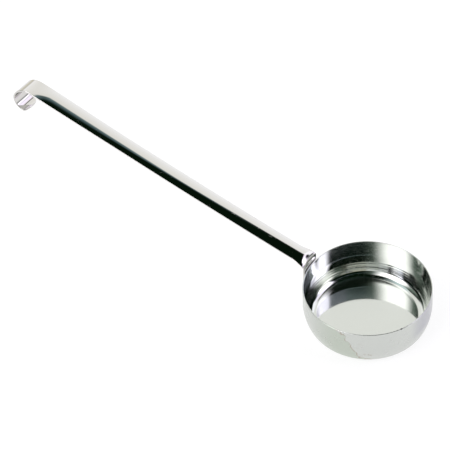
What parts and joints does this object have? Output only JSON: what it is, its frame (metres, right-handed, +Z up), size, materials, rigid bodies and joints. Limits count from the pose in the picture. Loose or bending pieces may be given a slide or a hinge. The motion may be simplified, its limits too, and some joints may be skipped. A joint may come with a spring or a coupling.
{
  "type": "sauce ladle",
  "caption": "Flat-bottomed stainless steel sauce ladle: a shallow drawn cup with a crowned strip handle, spot welded to the cup's wall and rolled into a hanging hook at its end.",
  "frame": {"origin": "middle of the cup's flat base, on its underside", "axes": "+Z up out of the cup, +X from the cup's axis along the handle to the hook, Y across the strip; the plane Y = 0 is a plane of symmetry"},
  "size_m": [0.3751, 0.1006, 0.1303],
  "materials": {
    "cup_steel": "bright drawn stainless steel, satin on the floor and the outer wall",
    "handle_steel": "polished stainless steel strip with deburred edges",
    "weld_steel": "dull resistance-welded steel"
  },
  "bodies": {
    "root": {"cup": "cup_steel", "handle": "handle_steel", "spot_weld_left": "weld_steel", "spot_weld_right": "weld_steel", "spot_weld_lower": "weld_steel"}
  },
  "joints": []
}
